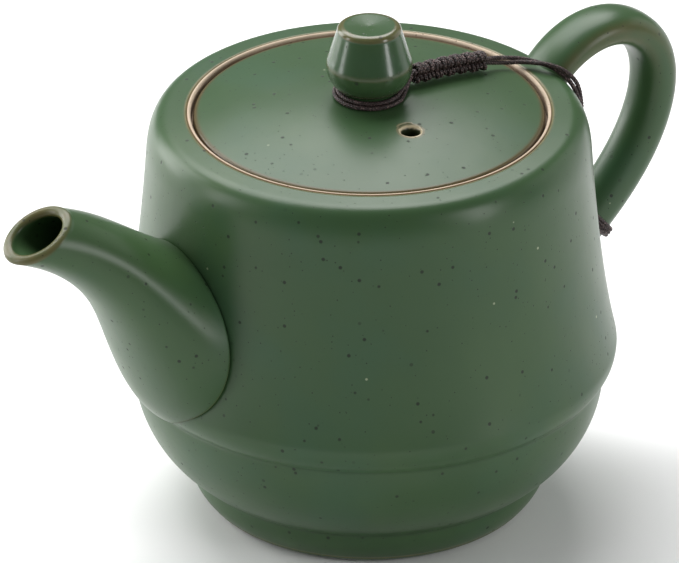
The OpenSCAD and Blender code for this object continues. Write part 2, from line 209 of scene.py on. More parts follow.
def along(route, count):
    """count points on the smooth curve through the route's points, evenly spaced."""
    ends = np.vstack([2 * route[0] - route[1], route, 2 * route[-1] - route[-2]])
    steps = np.linspace(0, len(route) - 1, 40 * len(route))
    i = np.minimum(steps.astype(int), len(route) - 2)
    f = (steps - i)[:, None]
    a, b, c, d = ends[i], ends[i + 1], ends[i + 2], ends[i + 3]
    fine = b + 0.5 * f * (c - a + f * (2 * a - 5 * b + 4 * c - d + f * (3 * (b - c) + d - a)))
    run = np.concatenate([[0], np.cumsum(np.linalg.norm(np.diff(fine, axis=0), axis=1))])
    return np.stack([np.interp(np.linspace(0, run[-1], count), run, fine[:, k]) for k in range(3)], 1)


def sides_of(points):
    """A level sideways direction and an upward one at each point of a path."""
    way = np.gradient(points, axis=0)
    way /= np.linalg.norm(way, axis=1)[:, None]
    side = np.cross(way, [0, 0, 1.0])
    side /= np.linalg.norm(side, axis=1)[:, None]
    return side, np.cross(side, way)


def cord_colour():
    """Brown-black polyester, with small pinkish glints painted on the yarns as highlights."""
    dye = Recipe("braided_cord")
    fibre_grain_and_glints = dye.noise(2300.0, 2.0, 0.6)
    wear = dye.noise(420.0, 3.0)
    colour = dye.mix(dye.ramp(fibre_grain_and_glints, 0.3, 0.55), (0.006, 0.003, 0.003, 1), (0.034, 0.018, 0.017, 1))
    # Painted highlight: pinkish glints where the noise peaks, standing in for light caught by the yarns.
    colour = dye.mix(dye.ramp(fibre_grain_and_glints, 0.56, 0.66), colour, (0.23, 0.155, 0.145, 1))
    colour = dye.mix(dye.ramp(wear, 0.55, 0.8, 0.0, 0.3), colour, (0.085, 0.055, 0.052, 1))
    normal = dye.bump(fibre_grain_and_glints, 0.00004, 0.8)
    return dye.finish(colour, dye.ramp(wear, 0.3, 0.7, 0.34, 0.52), normal, Specular_IOR_Level=0.45)


cord_material = cord_colour()


def plaiting_tree():
    """Geometry Nodes that plait yarns round a line: each yarn winds one way or the other
    and passes over and under those that wind against it."""
    tree = bpy.data.node_groups.new("plaited_strand", "GeometryNodeTree")
    face = tree.interface
    face.new_socket("Geometry", in_out="INPUT", socket_type="NodeSocketGeometry")
    for name, kind, value in (("Strand radius", "Float", strand_d / 2), ("Yarn radius", "Float", 0.2 * MM),
                              ("Pitch", "Float", 2.9 * MM), ("Step", "Float", 0.18 * MM),
                              ("Yarns", "Int", 8), ("Material", "Material", None)):
        socket = face.new_socket(name, in_out="INPUT", socket_type="NodeSocket" + kind)
        if value is not None:
            socket.default_value = value
    face.new_socket("Geometry", in_out="OUTPUT", socket_type="NodeSocketGeometry")
    add, link = tree.nodes.new, tree.links.new
    given = add("NodeGroupInput").outputs

    def put(kind, settings=None, *inputs):
        made = add(kind)
        for key, value in (settings or {}).items():
            setattr(made, key, value)
        for socket, value in zip(made.inputs, inputs):
            if isinstance(value, bpy.types.NodeSocket):
                link(value, socket)
            elif value is not None:
                socket.default_value = value
        return made

    def maths(operation, *inputs):
        return put("ShaderNodeMath", {"operation": operation}, *inputs).outputs[0]

    def vectors(operation, a, b):
        made = put("ShaderNodeVectorMath", {"operation": operation}, a)
        if operation == "SCALE":
            link(b, made.inputs["Scale"])
        else:
            link(b, made.inputs[1])
        return made.outputs[0]

    line = put("GeometryNodeMeshToCurve", None, given["Geometry"]).outputs[0]
    line = put("GeometryNodeResampleCurve", {"mode": "LENGTH"}).outputs[0].node
    link(tree.nodes["Mesh to Curve"].outputs[0], line.inputs["Curve"])
    link(given["Step"], line.inputs["Length"])
    run = add("GeometryNodeSplineParameter").outputs["Length"]
    tangent = add("GeometryNodeInputTangent").outputs[0]
    normal = add("GeometryNodeInputNormal").outputs[0]
    kept = line.outputs[0]
    stores = {}
    for name, kind, value in (("run", "FLOAT", run), ("tangent", "FLOAT_VECTOR", tangent),
                              ("normal", "FLOAT_VECTOR", normal)):
        store = add("GeometryNodeStoreNamedAttribute")
        store.data_type = kind
        store.inputs["Name"].default_value = name
        link(kept, store.inputs["Geometry"])
        link(value, store.inputs["Value"])
        kept = store.outputs[0]
        read = add("GeometryNodeInputNamedAttribute")
        read.data_type = kind
        read.inputs["Name"].default_value = name
        stores[name] = read.outputs["Attribute"]
    copies = add("GeometryNodeDuplicateElements")
    copies.domain = "SPLINE"
    link(kept, copies.inputs["Geometry"])
    link(given["Yarns"], copies.inputs["Amount"])
    number = copies.outputs["Duplicate Index"]
    handed = maths("SUBTRACT", maths("MULTIPLY", maths("MODULO", number, 2.0), 2.0), 1.0)
    start = maths("MULTIPLY", maths("FLOOR", maths("DIVIDE", number, 2.0)),
                  maths("DIVIDE", 4 * math.pi, given["Yarns"]))
    turned = maths("MULTIPLY", maths("DIVIDE", stores["run"], given["Pitch"]), 2 * math.pi)
    angle = maths("ADD", start, maths("MULTIPLY", turned, handed))
    crossings = maths("MULTIPLY", angle, maths("DIVIDE", given["Yarns"], 2.0))
    over = maths("MULTIPLY", handed, maths("COSINE", crossings))
    lift = maths("MULTIPLY", over, maths("MULTIPLY", given["Yarn radius"], 0.42))
    middle = maths("SUBTRACT", given["Strand radius"], maths("MULTIPLY", given["Yarn radius"], 1.38))
    radius = maths("ADD", middle, lift)
    across = vectors("CROSS_PRODUCT", stores["tangent"], stores["normal"])
    outward = maths("MULTIPLY", radius, maths("COSINE", angle))
    offset = vectors("ADD", vectors("SCALE", stores["normal"], outward),
                     vectors("SCALE", across, maths("MULTIPLY", radius, maths("SINE", angle))))
    moved = add("GeometryNodeSetPosition")
    link(copies.outputs["Geometry"], moved.inputs["Geometry"])
    link(offset, moved.inputs["Offset"])
    section = add("GeometryNodeCurvePrimitiveCircle")
    section.inputs["Resolution"].default_value = 6
    link(given["Yarn radius"], section.inputs["Radius"])
    swept = add("GeometryNodeCurveToMesh")
    link(moved.outputs[0], swept.inputs["Curve"])
    link(section.outputs[0], swept.inputs["Profile Curve"])
    swept.inputs["Fill Caps"].default_value = True
    smooth = add("GeometryNodeSetShadeSmooth")
    link(swept.outputs[0], smooth.inputs["Geometry"])
    real = add("GeometryNodeRealizeInstances")
    link(smooth.outputs[0], real.inputs["Geometry"])
    painted = add("GeometryNodeSetMaterial")
    link(real.outputs[0], painted.inputs["Geometry"])
    link(given["Material"], painted.inputs["Material"])
    link(painted.outputs[0], add("NodeGroupOutput").inputs[0])
    return tree


def grown(piece, tree, **inputs):
    """The piece with the tree's result as its plain mesh. Inputs are named with _ for a space."""
    modifier = piece.modifiers.new(tree.name, "NODES")
    modifier.node_group = tree
    for item in tree.interface.items_tree:
        key = item.name.replace(" ", "_")
        if getattr(item, "in_out", "") == "INPUT" and key in inputs:
            modifier[item.identifier] = inputs[key]
    depsgraph = bpy.context.evaluated_depsgraph_get()
    mesh = bpy.data.meshes.new_from_object(piece.evaluated_get(depsgraph))
    piece.modifiers.clear()
    piece.data = mesh
    for name in ("run", "tangent", "normal"):
        if name in mesh.attributes:
            mesh.attributes.remove(mesh.attributes[name])
    return piece


plaited = plaiting_tree()


def cord_piece(name, lines):
    """One piece of plaited cord that follows each line of points."""
    points, edges = [], []
    for line in lines:
        first = len(points)
        points += [tuple(map(float, p)) for p in line]
        edges += [(first + i, first + i + 1) for i in range(len(line) - 1)]
    mesh = bpy.data.meshes.new(name)
    mesh.from_pydata(points, edges, [])
    piece = bpy.data.objects.new(name, mesh)
    bpy.context.scene.collection.objects.link(piece)
    return grown(piece, plaited, Material=cord_material)


def twin_strands(route, turns, gap, start_angle=0.0):
    """Two strands that run side by side along the route and wind round each other."""
    side, up = sides_of(route)
    angle = start_angle + 2 * math.pi * turns * np.linspace(0, 1, len(route))
    swing = (np.cos(angle)[:, None] * side + np.sin(angle)[:, None] * up) * gap / 2
    return [route + swing, route - swing]


# The two strands from the knot over the rim to the handle
tether_line = along(tether_route, 240)
tether = cord_piece("tether_strands", twin_strands(tether_line, 1.9, 1.05 * MM, 1.1))
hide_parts("cord_tether")


# The row of snake knots: each strand winds round its own half of the core, and the turns
# bunch into lobes that lie half a lobe apart on the two sides
def snake_knot():
    lobes, turns_each = 6, 3
    half_way, half_tall, half_deep, lean = 1.05 * MM, 0.82 * MM, 1.35 * MM, 0.5 * MM
    line = along(knot_route[1:], 150 * lobes)
    side, up = sides_of(line)
    way = np.cross(up, side)
    share = np.linspace(0, 1, len(line))
    strands = []
    for half in (1, -1):
        bunch = np.sin(math.pi * (lobes * share + (0 if half > 0 else 0.5))) ** 2
        size = (0.74 + 0.26 * bunch) * np.clip(0.55 + 3 * np.minimum(share, 1 - share) * lobes, 0, 1)
        angle = half * 2 * math.pi * turns_each * lobes * share
        strands.append(line + (size * half_deep * np.sin(angle))[:, None] * side
                       + (half * half_way * size + size * half_tall * np.cos(angle))[:, None] * up
                       + (half * lean * np.cos(angle))[:, None] * way)
    lead = along(knot_route[:2], 20)
    strands += twin_strands(lead, 0.0, strand_d)
    return cord_piece("snake_knot", strands)


knot = snake_knot()
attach(knot, "cord_head")
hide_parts("cord_snake_knot")


# Two turns round the knob's neck, which meet at the knot; they lie on the lid in front and
# ride a little higher behind
front_heading, loop_rise = math.radians(-100), 0.55 * MM
inner_turn, outer_turn = (6.7 * MM, 96.5 * MM), (7.45 * MM, 95.75 * MM)


def neck_loop():
    meet, count = knot_route[1], 90
    strands = []
    for radius, height in (inner_turn, outer_turn):
        leave = math.acos(radius / math.hypot(meet[0], meet[1]))
        angle = math.atan2(meet[1], meet[0]) + np.linspace(leave, 2 * math.pi - leave, count)
        slack = 0.5 * (1 - np.cos(angle - front_heading))
        ring = np.stack([radius * np.cos(angle), radius * np.sin(angle), height + slack * loop_rise], 1)
        strands.append(along(np.vstack([[meet], ring[::6], [ring[-1]], [meet]]), 240))
    return cord_piece("neck_loop", strands)


loop = neck_loop()
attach(loop, "cord_head")
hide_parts("cord_neck_loop")

# The strap of the handle, which the tie goes round, is a quartic curve from the shoulder
# to the belly; its corners stand in the plane y = 0
strap_line = np.array([[39, 75], [46.5, 108], [85.5, 104], [85, 70.5], [49.5, 44]]) * MM
strap_squareness = 2.3


def cubic(values, t):
    a, b, c, d = values
    return (1 - t) ** 3 * a + 3 * (1 - t) ** 2 * t * b + 3 * (1 - t) * t * t * c + t ** 3 * d


def strap_point(t, angle, out=0.0, step=0.0):
    """A point of the strap's outline at station t, some way out from it and further along it."""
    weights = np.array([(1 - t) ** 4, 4 * (1 - t) ** 3 * t, 6 * (1 - t) ** 2 * t * t,
                        4 * (1 - t) * t ** 3, t ** 4])
    slopes = np.array([(1 - t) ** 3, 3 * (1 - t) ** 2 * t, 3 * (1 - t) * t * t, t ** 3])
    middle, slope = weights @ strap_line, slopes @ np.diff(strap_line, axis=0)
    slope /= np.linalg.norm(slope)
    rounded = [math.copysign(abs(v) ** (2 / strap_squareness), v) for v in (math.cos(angle), math.sin(angle))]
    thick = cubic((3.6 * MM, 3.2 * MM, 5.2 * MM, 5 * MM), t)
    wide = cubic((6 * MM, 7.4 * MM, 4.9 * MM, 5 * MM), t)
    spot = middle + np.array([-slope[1], slope[0]]) * (thick + out) * rounded[0] + slope * step
    return np.array([spot[0], (wide + out) * rounded[1], spot[1]])


# Three turns round the handle's lower end, and the two cut ends with their stopper knots
def handle_tie():
    turns, station = 3, 0.942
    out = 0.1 * MM + strand_d / 2
    count = 64 * turns
    coil = [strap_point(station, 2 * math.pi * turns * i / count + math.pi / 2, out,
                        (i / count - 0.5) * (turns - 1) * strand_d) for i in range(count + 1)]
    return cord_piece("handle_tie", [np.array(coil)])


tie = handle_tie()
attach(tie, "pot")
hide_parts("cord_handle_tie")


def stopper_knots():
    """Each cut end: one small overhand turn of the strand on itself."""
    strands = []
    for middle in (np.array([57.5, 7, 50.9]) * MM, np.array([55.9, 7, 49]) * MM):
        angle = np.linspace(0, 2 * math.pi * 1.6, 60)
        reach = 0.34 * MM
        strands.append(middle + np.stack([reach * np.cos(angle), reach * np.sin(angle) * 0.9,
                                          (angle / angle[-1] - 0.5) * 0.7 * MM], 1))
    return cord_piece("stopper_knots", strands)


ends = stopper_knots()
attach(ends, "pot")
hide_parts("cord_ends")

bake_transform(tether)

# ---- Glaze and bare clay ----------------------------------------------------
# Dark stoneware with a green satin glaze: it pools blue-green in the hollows, breaks
# thin to olive and cream over sharp edges, and carries small iron specks from the clay.


def green_glaze(name, cream_breaks=0.4, gloss=0.0, shine=0.3):
    """The pot's glaze. The attribute thin is one on sharp edges, pool is one in creases."""
    glaze = Recipe(name)
    clouds = glaze.noise(16.0, 4.0, 0.6, warp=0.4)
    drift = glaze.noise(45.0, 3.0, 0.5)
    thin = glaze.attribute("thin")
    pool = glaze.attribute("pool")
    colour = glaze.mix(glaze.ramp(clouds, 0.35, 0.68), (0.036, 0.080, 0.031, 1), (0.045, 0.092, 0.035, 1))
    colour = glaze.mix(glaze.ramp(drift, 0.45, 0.75, 0.0, 0.55), colour, (0.033, 0.084, 0.043, 1))
    colour = glaze.mix(glaze.ramp(pool, 0.1, 0.9, 0.0, 0.6), colour, (0.022, 0.046, 0.020, 1))
    patchy = glaze.ramp(glaze.noise(180.0, 3.0, 0.7), 0.3, 0.7, 0.55, 1.0)
    edge = glaze.maths("MULTIPLY", glaze.ramp(thin, 0.45, 1.0), patchy)
    colour = glaze.mix(edge, colour, (0.105, 0.095, 0.036, 1))
    crest = glaze.maths("MULTIPLY", glaze.ramp(thin, 0.8, 1.0, 0.0, cream_breaks), patchy)
    colour = glaze.mix(crest, colour, (0.36, 0.30, 0.17, 1))
    dark = None
    for scale, size in ((330.0, 0.17), (760.0, 0.15)):
        away, pick = glaze.cells(scale)
        spot = glaze.maths("MULTIPLY", glaze.ramp(away, size * 0.55, size, 1.0, 0.0),
                           glaze.ramp(pick, 0.45, 0.75))
        dark = spot if dark is None else glaze.maths("MAXIMUM", dark, spot)
    colour = glaze.mix(glaze.maths("MULTIPLY", dark, 0.85), colour, (0.006, 0.010, 0.005, 1))
    away, pick = glaze.cells(150.0)
    light = glaze.maths("MULTIPLY", glaze.ramp(away, 0.035, 0.055, 1.0, 0.0), glaze.ramp(pick, 0.7, 0.8))
    colour = glaze.mix(glaze.maths("MULTIPLY", light, 0.8), colour, (0.30, 0.34, 0.22, 1))
    skin = glaze.noise(620.0, 2.0, 0.5)
    swell = glaze.noise(90.0, 2.0, 0.5)
    normal = glaze.bump(skin, 0.00002, 0.35)
    normal = glaze.bump(swell, 0.00035, 0.22, normal)
    normal = glaze.bump(dark, -0.00006, 0.5, normal)
    rough = glaze.maths("ADD", glaze.ramp(drift, 0.3, 0.7, 0.31 - gloss, 0.37 - gloss),
                        glaze.maths("MULTIPLY", dark, 0.2))
    return glaze.finish(colour, rough, normal, IOR=1.52, Specular_IOR_Level=shine)


def bare_clay():
    """Unglazed seat and flange: sandy, pale tan, browner where glaze has run over it."""
    clay = Recipe("bare_clay")
    grain = clay.noise(2400.0, 3.0, 0.7)
    patch = clay.noise(140.0, 4.0, 0.6)
    colour = clay.mix(clay.ramp(patch, 0.3, 0.7), (0.36, 0.25, 0.17, 1), (0.52, 0.40, 0.29, 1))
    colour = clay.mix(clay.ramp(grain, 0.5, 0.8, 0.0, 0.5), colour, (0.64, 0.54, 0.42, 1))
    colour = clay.mix(clay.ramp(clay.attribute("thin"), 0.1, 0.8, 0.0, 0.5), colour, (0.62, 0.52, 0.40, 1))
    colour = clay.mix(clay.ramp(clay.attribute("stain"), 0.2, 0.9, 0.0, 0.85), colour,
                      (0.16, 0.085, 0.030, 1))
    away, pick = clay.cells(900.0)
    pits = clay.maths("MULTIPLY", clay.ramp(away, 0.12, 0.24, 1.0, 0.0), clay.ramp(pick, 0.6, 0.8))
    colour = clay.mix(clay.maths("MULTIPLY", pits, 0.7), colour, (0.12, 0.07, 0.045, 1))
    normal = clay.bump(grain, 0.00006, 0.7)
    normal = clay.bump(pits, -0.00008, 0.6, normal)
    return clay.finish(colour, clay.ramp(patch, 0.3, 0.7, 0.62, 0.8), normal, Specular_IOR_Level=0.35)


def ringed_glaze(name, rings):
    """The body's glaze with ragged rings of other colours round upright lines."""
    material = body_glaze.copy()
    material.name = name
    tree = material.node_tree
    shader = tree.nodes["Principled BSDF"]
    under = shader.inputs["Base Color"].links[0].from_socket
    place = tree.nodes.new("ShaderNodeTexCoord").outputs["Object"]
    ripple = tree.nodes.new("ShaderNodeTexNoise")
    ripple.inputs["Scale"].default_value = 900.0
    tree.links.new(place, ripple.inputs["Vector"])

    def ring(centre, steps, colour, beneath):
        """colour over what lies beneath, by the distance from an upright line."""
        flat = tree.nodes.new("ShaderNodeVectorMath")
        flat.operation = "MULTIPLY"
        tree.links.new(place, flat.inputs[0])
        flat.inputs[1].default_value = (1, 1, 0)
        far = tree.nodes.new("ShaderNodeVectorMath")
        far.operation = "DISTANCE"
        tree.links.new(flat.outputs[0], far.inputs[0])
        far.inputs[1].default_value = centre
        ragged = tree.nodes.new("ShaderNodeMath")
        ragged.operation = "MULTIPLY_ADD"
        tree.links.new(ripple.outputs[0], ragged.inputs[0])
        ragged.inputs[1].default_value = 0.35 * MM
        tree.links.new(far.outputs["Value"], ragged.inputs[2])
        band = tree.nodes.new("ShaderNodeMapRange")
        band.interpolation_type = "SMOOTHSTEP"
        tree.links.new(ragged.outputs[0], band.inputs[0])
        for index, value in enumerate(steps):
            band.inputs[index + 1].default_value = value
        over = tree.nodes.new("ShaderNodeMix")
        over.data_type = "RGBA"
        tree.links.new(band.outputs[0], over.inputs[0])
        tree.links.new(beneath, over.inputs[6])
        over.inputs[7].default_value = colour
        return over.outputs[2]

    for each in rings:
        under = ring(*each, under)
    tree.links.new(under, shader.inputs["Base Color"])
    return material


body_glaze = green_glaze("body_glaze")
knob_glaze = green_glaze("knob_glaze", 0.0, 0.15, 0.42)
clay_material = bare_clay()


def wheel_tree():
    """Geometry Nodes that turn a profile round the pot's axis, as a wheel and a rib do."""
    tree = bpy.data.node_groups.new("turned_on_the_wheel", "GeometryNodeTree")
    face = tree.interface
    face.new_socket("Geometry", in_out="INPUT", socket_type="NodeSocketGeometry")
    for name, kind, value in (("Segments", "Int", 192), ("Guide radius", "Float", 0.1),
                              ("Wobble", "Float", 0.03 * MM), ("Material", "Material", None)):
        socket = face.new_socket(name, in_out="INPUT", socket_type="NodeSocket" + kind)
        if value is not None:
            socket.default_value = value
    face.new_socket("Geometry", in_out="OUTPUT", socket_type="NodeSocketGeometry")
    add, link = tree.nodes.new, tree.links.new
    given = add("NodeGroupInput").outputs
    profile = add("GeometryNodeMeshToCurve")
    link(given["Geometry"], profile.inputs[0])
    circle = add("GeometryNodeCurvePrimitiveCircle")
    link(given["Segments"], circle.inputs["Resolution"])
    link(given["Guide radius"], circle.inputs["Radius"])
    turned = add("GeometryNodeCurveToMesh")
    link(circle.outputs[0], turned.inputs["Curve"])
    link(profile.outputs[0], turned.inputs["Profile Curve"])
    outward_faces = add("GeometryNodeFlipFaces")
    link(turned.outputs[0], outward_faces.inputs[0])
    merged = add("GeometryNodeMergeByDistance")
    link(outward_faces.outputs[0], merged.inputs["Geometry"])
    merged.inputs["Distance"].default_value = 0.002 * MM
    noise = add("ShaderNodeTexNoise")
    noise.inputs["Scale"].default_value = 22.0
    noise.inputs["Detail"].default_value = 1.0
    centred = add("ShaderNodeMath")
    centred.operation = "SUBTRACT"
    link(noise.outputs[0], centred.inputs[0])
    centred.inputs[1].default_value = 0.5
    much = add("ShaderNodeMath")
    much.operation = "MULTIPLY"
    link(centred.outputs[0], much.inputs[0])
    link(given["Wobble"], much.inputs[1])
    outward = add("ShaderNodeVectorMath")
    outward.operation = "SCALE"
    link(add("GeometryNodeInputNormal").outputs[0], outward.inputs[0])
    link(much.outputs[0], outward.inputs["Scale"])
    moved = add("GeometryNodeSetPosition")
    link(merged.outputs[0], moved.inputs["Geometry"])
    link(outward.outputs[0], moved.inputs["Offset"])
    smooth = add("GeometryNodeSetShadeSmooth")
    link(moved.outputs[0], smooth.inputs["Geometry"])
    real = add("GeometryNodeRealizeInstances")
    link(smooth.outputs[0], real.inputs["Geometry"])
    painted = add("GeometryNodeSetMaterial")
    link(real.outputs[0], painted.inputs["Geometry"])
    link(given["Material"], painted.inputs["Material"])
    link(painted.outputs[0], add("NodeGroupOutput").inputs[0])
    return tree


wheel = wheel_tree()
guide_radius = 100.0


def turned(name, profile, material, closed=True, segments=192, wobble=0.02):
    """A piece turned from its profile: radius and height in millimetres, the clay on the left of the way."""
    points = [((r - guide_radius) * MM, -z * MM, 0) for r, z in profile]
    edges = [(i, i + 1) for i in range(len(points) - 1)]
    if closed:
        edges.append((len(points) - 1, 0))
    mesh = bpy.data.meshes.new(name)
    mesh.from_pydata(points, edges, [])
    piece = bpy.data.objects.new(name, mesh)
    bpy.context.scene.collection.objects.link(piece)
    return grown(piece, wheel, Segments=segments, Guide_radius=guide_radius * MM, Wobble=wobble * MM,
                 Material=material)


def edge_marks(piece, reach=3, sharp=9.0):
    """Stores how thin and how pooled the glaze lies: convex edges are thin, creases are pooled."""
    mesh = piece.data
    count = len(mesh.vertices)
    points = np.zeros(count * 3)
    mesh.vertices.foreach_get("co", points)
    points = points.reshape(-1, 3)
    normals = np.zeros(count * 3)
    mesh.vertex_normals.foreach_get("vector", normals)
    normals = normals.reshape(-1, 3)
    pairs = np.zeros(len(mesh.edges) * 2, int)
    mesh.edges.foreach_get("vertices", pairs)
    a, b = pairs.reshape(-1, 2).T
    ways = points[b] - points[a]
    squares = np.maximum((ways ** 2).sum(1), 1e-16)
    bend = np.zeros(count)
    weight = np.zeros(count)
    np.add.at(bend, a, -(ways * normals[a]).sum(1) / squares * np.sqrt(squares))
    np.add.at(bend, b, (ways * normals[b]).sum(1) / squares * np.sqrt(squares))
    np.add.at(weight, a, np.sqrt(squares))
    np.add.at(weight, b, np.sqrt(squares))
    bend = bend / np.maximum(weight, 1e-12) * MM
    for _ in range(reach):
        total, near = bend.copy(), np.ones(count)
        np.add.at(total, a, bend[b])
        np.add.at(total, b, bend[a])
        np.add.at(near, a, 1)
        np.add.at(near, b, 1)
        bend = total / near
    for name, values in (("thin", bend), ("pool", -bend)):
        layer = mesh.attributes.new(name, "FLOAT", "POINT")
        layer.data.foreach_set("value", np.clip(values * sharp, 0, 1).astype(np.float32))
    return piece


# ---- The pot's body ---------------------------------------------------------
# Thrown or jiggered stoneware: a bowl-like base in two steps, a tall wall that leans in
# and a rounded shoulder. The rim is flat and its glaze stops at the bare seat ring.


def bezier(a, b, c, d, count):
    t = np.linspace(0, 1, count + 1)[:, None]
    return [tuple(p) for p in cubic([np.array(q, float) for q in (a, b, c, d)], t)]


def bow(a, b, bulge, count):
    """A circular arc from a to b that stands out by bulge, to the right of the way."""
    a, b = np.array(a, float), np.array(b, float)
    chord = b - a
    half = np.linalg.norm(chord) / 2
    radius = (half * half + bulge * bulge) / (2 * bulge)
    side = np.array([chord[1], -chord[0]]) / np.linalg.norm(chord)
    centre = (a + b) / 2 - side * (radius - bulge)
    start = math.atan2(a[1] - centre[1], a[0] - centre[0])
    sweep = 2 * math.asin(half / radius)
    angles = start + sweep * np.linspace(0, 1, count + 1)
    return [tuple(centre + radius * np.array([math.cos(v), math.sin(v)])) for v in angles]


def softened(profile, radius, step=0.5):
    """The profile with its corners rounded by a running mean, resampled every step millimetres."""
    points = np.array(profile, float)
    run = np.concatenate([[0], np.cumsum(np.linalg.norm(np.diff(points, axis=0), axis=1))])
    fine = np.linspace(0, run[-1], int(run[-1] / 0.05) + 1)
    line = np.stack([np.interp(fine, run, points[:, k]) for k in range(2)], 1)
    reach = max(1, int(radius / 0.05))
    kernel = np.hanning(2 * reach + 3)[1:-1]
    kernel /= kernel.sum()
    padded = np.vstack([2 * line[0] - line[reach:0:-1], line, 2 * line[-1] - line[-2:-reach - 2:-1]])
    line = np.stack([np.convolve(padded[:, k], kernel, "valid") for k in range(2)], 1)
    count = max(2, int(run[-1] / step))
    picked = np.linspace(0, len(line) - 1, count).astype(int)
    return [tuple(p) for p in line[picked]]


rim_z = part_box("lid_seat")[1].z / MM
belly_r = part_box("pot_body")[1].y / MM
belly_z, wall = 37.0, 4.0
floor_z = 6.5
seat_outer_r = 39.2
outer_profile = (bow((36.8, 2), (39.5, 9), 0.7, 6) + bow((39.5, 9), (51.25, 31), 3.2, 16)[1:]
                 + bezier((51.25, 31), (belly_r - 0.8, 32.7), (belly_r, belly_z - 2.6),
                          (belly_r, belly_z), 12)[1:]
                 + bezier((belly_r, belly_z), (belly_r, belly_z + 0.5), (50.3, belly_z + 12.7),
                          (48, rim_z - 8.5), 40)[1:]
                 + bezier((48, rim_z - 8.5), (47.6, rim_z - 2.9), (45.75, rim_z - 0.5),
                          (43.25, rim_z - 0.4), 20)[1:]
                 + [(seat_outer_r + 0.35, rim_z - 0.05)])
wall_heights = np.array([p[1] for p in outer_profile])
wall_radii = np.array([p[0] for p in outer_profile])


def wall_r(z):
    """Outer radius of the body at height z, in millimetres."""
    return np.interp(z, wall_heights, wall_radii)


def body_profile():
    outside = softened(outer_profile, 0.9, 0.45)
    inside = [(r - wall, z) for r, z in outer_profile if floor_z + 3 < z < 79]
    inner = ([(0, floor_z), (30, floor_z), (36, floor_z + 0.6)] + inside[::3]
             + bezier(inside[-1], (inside[-1][0] - 0.1, 83), (41.7, rim_z - 6.4),
                      (seat_outer_r, rim_z - 5.6), 8)[1:])
    lip = [(seat_outer_r, rim_z - 0.3)]
    under = [(30, 2.9), (34, 2.0)]
    return [(0, 3.2)] + under + outside + lip + softened(inner[::-1], 1.0, 1.5)


pot = edge_marks(turned("pot_body_glazed", body_profile(), body_glaze, closed=False, segments=224))
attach(pot, "pot")
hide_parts("pot_body")

# ---- Foot ring --------------------------------------------------------------
# A low ring turned from the same clay. The glaze runs down its outside; the face it
# rests on is wiped clean, so that the pot does not stick to the kiln shelf.

foot_profile = softened([(31.5, 2.6), (29.5, 2.0), (30.1, 0.15), (30.4, 0), (33.6, 0), (34, 0.12)]
                        + bow((34.05, 0.15), (36.8, 2), 0.35, 6) + [(36.2, 2.6), (31.5, 2.6)], 0.12, 0.22)
wiped_r, wiped_clay = 34.1, (0.48, 0.36, 0.25, 1)
foot_glaze = ringed_glaze("foot_glaze", [
    ((0, 0, 0), (wiped_r * MM, (wiped_r + 0.3) * MM, 1.0, 0.0), wiped_clay)])
foot = edge_marks(turned("foot_ring_wiped", foot_profile, foot_glaze, wobble=0.0))
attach(foot, "pot")
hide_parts("foot_ring")

# ---- Lid seat ---------------------------------------------------------------
# The gallery that the lid drops into. It is wiped clean of glaze, and its top edge shows
# as a thin ring of bare clay, stained brown where the rim's glaze stops against it.


def stained(piece, radius, width):
    """Marks where glaze has crept on to the clay: a ring of some width at that radius."""
    mesh = piece.data
    points = np.zeros(len(mesh.vertices) * 3)
    mesh.vertices.foreach_get("co", points)
    away = np.abs(np.hypot(points[0::3], points[1::3]) / MM - radius)
    layer = mesh.attributes.new("stain", "FLOAT", "POINT")
    layer.data.foreach_set("value", np.clip(1 - away / width, 0, 1).astype(np.float32))
    return piece


seat_r, mouth_r, ledge_z = 38.4, 34.6, rim_z - 3.1
seat_profile = softened([
    (seat_outer_r, rim_z - 5.6), (seat_outer_r, rim_z - 0.12), (seat_outer_r - 0.12, rim_z),
    (seat_r + 0.3, rim_z - 0.03),
    (seat_r, rim_z - 0.4), (seat_r, ledge_z + 0.1), (seat_r - 0.1, ledge_z), (mouth_r + 0.4, ledge_z),
    (mouth_r, ledge_z - 0.4), (mouth_r, rim_z - 6.4), (mouth_r + 0.6, rim_z - 7),
    (seat_outer_r - 0.8, rim_z - 7),
    (seat_outer_r, rim_z - 5.6)], 0.1, 0.2)
seat = edge_marks(turned("lid_seat_bare", seat_profile, clay_material, wobble=0.02))
stained(seat, seat_outer_r, 0.25)
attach(seat, "pot")
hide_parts("lid_seat")

# ---- Lid --------------------------------------------------------------------
# A shallow dome thrown upside down and glazed on top, brown where the glaze runs thin at its edge and
# near-black at the rim as painted shadow of the gap. A round steam hole is pierced through it. The flange
# below is bare clay.

lid_r, lid_base_z = 37.9, ledge_z + 0.1
lid_edge_z, lid_rise = lid_base_z + 2.5, 4.4
lid_top_z = lid_edge_z + lid_rise
dome_r = (lid_r ** 2 + lid_rise ** 2) / (2 * lid_rise)
flange_r = mouth_r - 0.6
flange_inner_r = flange_r - 3


def dome_z(r):
    return lid_top_z - dome_r + math.sqrt(dome_r ** 2 - r ** 2)


def lid_profile():
    top = [(r, dome_z(r)) for r in np.linspace(lid_r - 0.5, 0, 60)]
    under = bow((flange_inner_r, lid_base_z), (0, lid_base_z + 2.9), 0.35, 24)
    edge = [(flange_inner_r, lid_base_z), (lid_r - 0.4, lid_base_z), (lid_r, lid_base_z + 0.4),
            (lid_r, lid_edge_z - 0.5)]
    return softened(under[::-1] + edge[1:] + top, 0.18, 0.35)


steam_r, steam_d, steam_lip_d = 17.6, 4.0, 5.4
steam_turn = math.radians(-92.5)
steam_x, steam_y = steam_r * math.cos(steam_turn), steam_r * math.sin(steam_turn)


